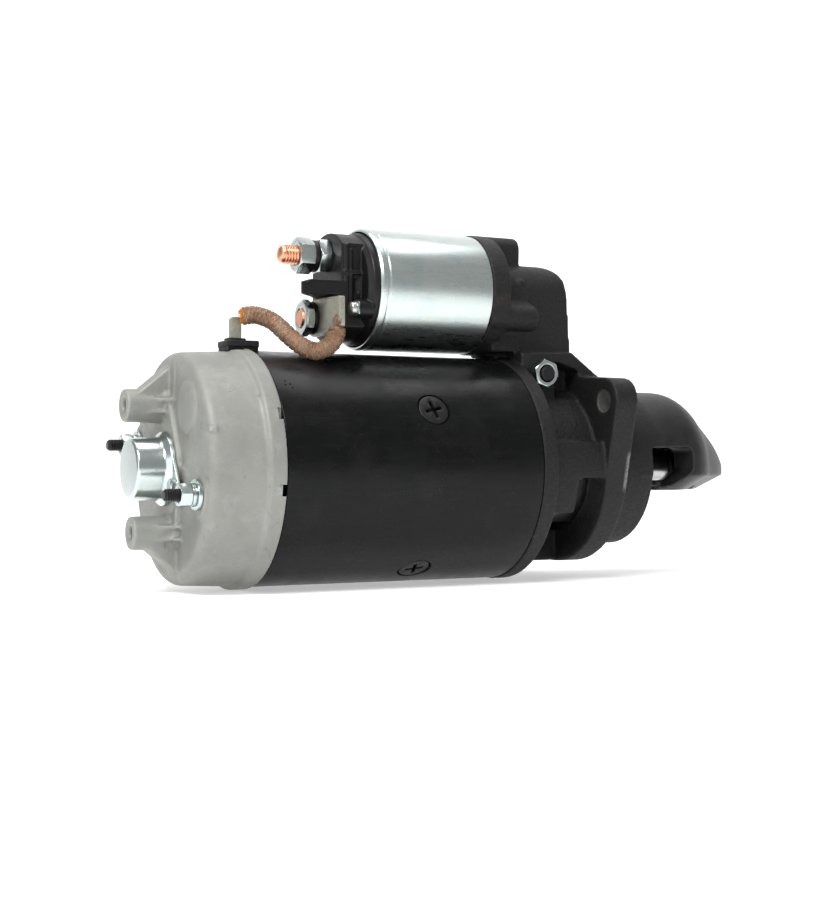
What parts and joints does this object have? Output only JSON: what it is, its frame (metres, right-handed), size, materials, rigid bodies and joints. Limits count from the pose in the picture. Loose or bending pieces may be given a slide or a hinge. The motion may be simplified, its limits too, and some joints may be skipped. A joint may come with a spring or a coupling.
{
  "type": "starter motor",
  "caption": "Cylindrical starter motor with a solenoid on top, a flanged nose over a sliding pinion, bracket bosses at the rear and a braided lead.",
  "frame": {"origin": "centre of the mounting flange front face, on the motor axis", "axes": "+X along the motor axis towards the pinion nose, +Z towards the solenoid, +Y completes the right-handed set"},
  "size_m": [0.3502, 0.1186, 0.1808],
  "materials": {
    "cast_alloy": "bead-blasted sand-grey casting",
    "bronze": "sintered bronze",
    "zinc": "bright zinc plating",
    "black_steel": "satin black paint on steel",
    "black_bolt": "blackened steel",
    "lamination": "oiled sheet steel",
    "enamel_copper": "varnished copper",
    "tinned": "tinned copper",
    "rubber": "moulded rubber",
    "steel": "ground or machined steel",
    "copper": "bare copper",
    "carbon": "copper-graphite brush",
    "cast_black": "rough casting painted black",
    "phenolic": "moulded phenolic",
    "braid": "bare copper braid"
  },
  "bodies": {
    "frame": {"commutator_end_shield": "cast_alloy", "intermediate_bearing": "cast_alloy", "commutator_bush": "bronze", "nose_bush": "bronze", "bearing_cap": "zinc", "bearing_cap_screw_a": "zinc", "bearing_cap_screw_b": "zinc", "through_bolt_nut_a": "zinc", "through_bolt_nut_b": "zinc", "lever_pivot_nut": "zinc", "solenoid_can": "zinc", "solenoid_screw_a": "zinc", "solenoid_screw_b": "zinc", "solenoid_screw_c": "zinc", "battery_nut": "zinc", "battery_stud_locknut": "zinc", "motor_nut": "zinc", "through_bolt_a": "black_bolt", "through_bolt_b": "black_bolt", "pole_screw_1": "black_bolt", "pole_screw_2": "black_bolt", "pole_screw_3": "black_bolt", "pole_screw_4": "black_bolt", "lever_pivot_bolt": "black_bolt", "yoke": "black_steel", "pole_shoe_1": "lamination", "pole_shoe_2": "lamination", "pole_shoe_3": "lamination", "pole_shoe_4": "lamination", "field_winding": "enamel_copper", "solenoid_coil": "enamel_copper", "field_terminal_strip": "tinned", "brush_plate": "tinned", "cable_lug": "tinned", "terminal_grommet": "rubber", "solenoid_core": "steel", "control_terminal_screw": "steel", "battery_stud": "copper", "motor_stud": "copper", "drive_end_housing": "cast_black", "solenoid_cap": "phenolic", "braided_lead": "braid"},
    "armature": {"armature_shaft": "steel", "armature_core": "lamination", "armature_winding": "enamel_copper", "commutator": "copper", "shaft_stop_ring": "steel"},
    "drive": {"drive_sleeve": "steel", "clutch_housing": "steel", "meshing_spring": "steel"},
    "pinion": {"pinion": "steel"},
    "lever": {"engagement_lever": "steel"},
    "plunger": {"solenoid_plunger": "steel", "plunger_return_spring": "steel"},
    "contact": {"contact_bridge": "copper"},
    "brush_1": {"brush_1": "carbon"},
    "brush_2": {"brush_2": "carbon"},
    "brush_3": {"brush_3": "carbon"},
    "brush_4": {"brush_4": "carbon"}
  },
  "joints": [
    {"name": "armature_spin", "type": "hinge", "parent": "frame", "child": "armature", "pos_m": [-0.126, 0, 0], "axis": [1, 0, 0], "continuous": true},
    {"name": "drive_slide", "type": "slide", "parent": "armature", "child": "drive", "axis": [1, 0, 0], "range_m": [0, 0.0143]},
    {"name": "pinion_overrun", "type": "hinge", "parent": "drive", "child": "pinion", "pos_m": [0.028, 0, 0], "axis": [1, 0, 0], "continuous": true},
    {"name": "plunger_slide", "type": "slide", "parent": "frame", "child": "plunger", "axis": [-1, 0, 0], "range_m": [0, 0.012], "stiffness_N_per_m": 2000, "springref_m": -0.02, "deforming": ["plunger_return_spring"]},
    {"name": "lever_swing", "type": "hinge", "parent": "frame", "child": "lever", "pos_m": [-0.0363, 0, 0.049], "axis": [0, -1, 0], "range_deg": [0, 16.7]},
    {"name": "contact_slide", "type": "slide", "parent": "frame", "child": "contact", "axis": [-1, 0, 0], "range_m": [0, 0.0031]},
    {"name": "brush_1_slide", "type": "slide", "parent": "frame", "child": "brush_1", "axis": [0, 0.5, 0.866], "range_m": [0, 0.006], "stiffness_N_per_m": 300, "springref_m": -0.02},
    {"name": "brush_2_slide", "type": "slide", "parent": "frame", "child": "brush_2", "axis": [0, -0.866, 0.5], "range_m": [0, 0.006], "stiffness_N_per_m": 300, "springref_m": -0.02},
    {"name": "brush_3_slide", "type": "slide", "parent": "frame", "child": "brush_3", "axis": [0, -0.5, -0.866], "range_m": [0, 0.006], "stiffness_N_per_m": 300, "springref_m": -0.02},
    {"name": "brush_4_slide", "type": "slide", "parent": "frame", "child": "brush_4", "axis": [0, 0.866, -0.5], "range_m": [0, 0.006], "stiffness_N_per_m": 300, "springref_m": -0.02}
  ],
  "couplings": [
    {"joint": "drive_slide", "follows": "plunger_slide", "ratio": 1.185},
    {"joint": "lever_swing", "follows": "plunger_slide", "rad_per_m": 24.184},
    {"joint": "contact_slide", "follows": "plunger_slide", "ratio": 0.25}
  ]
}
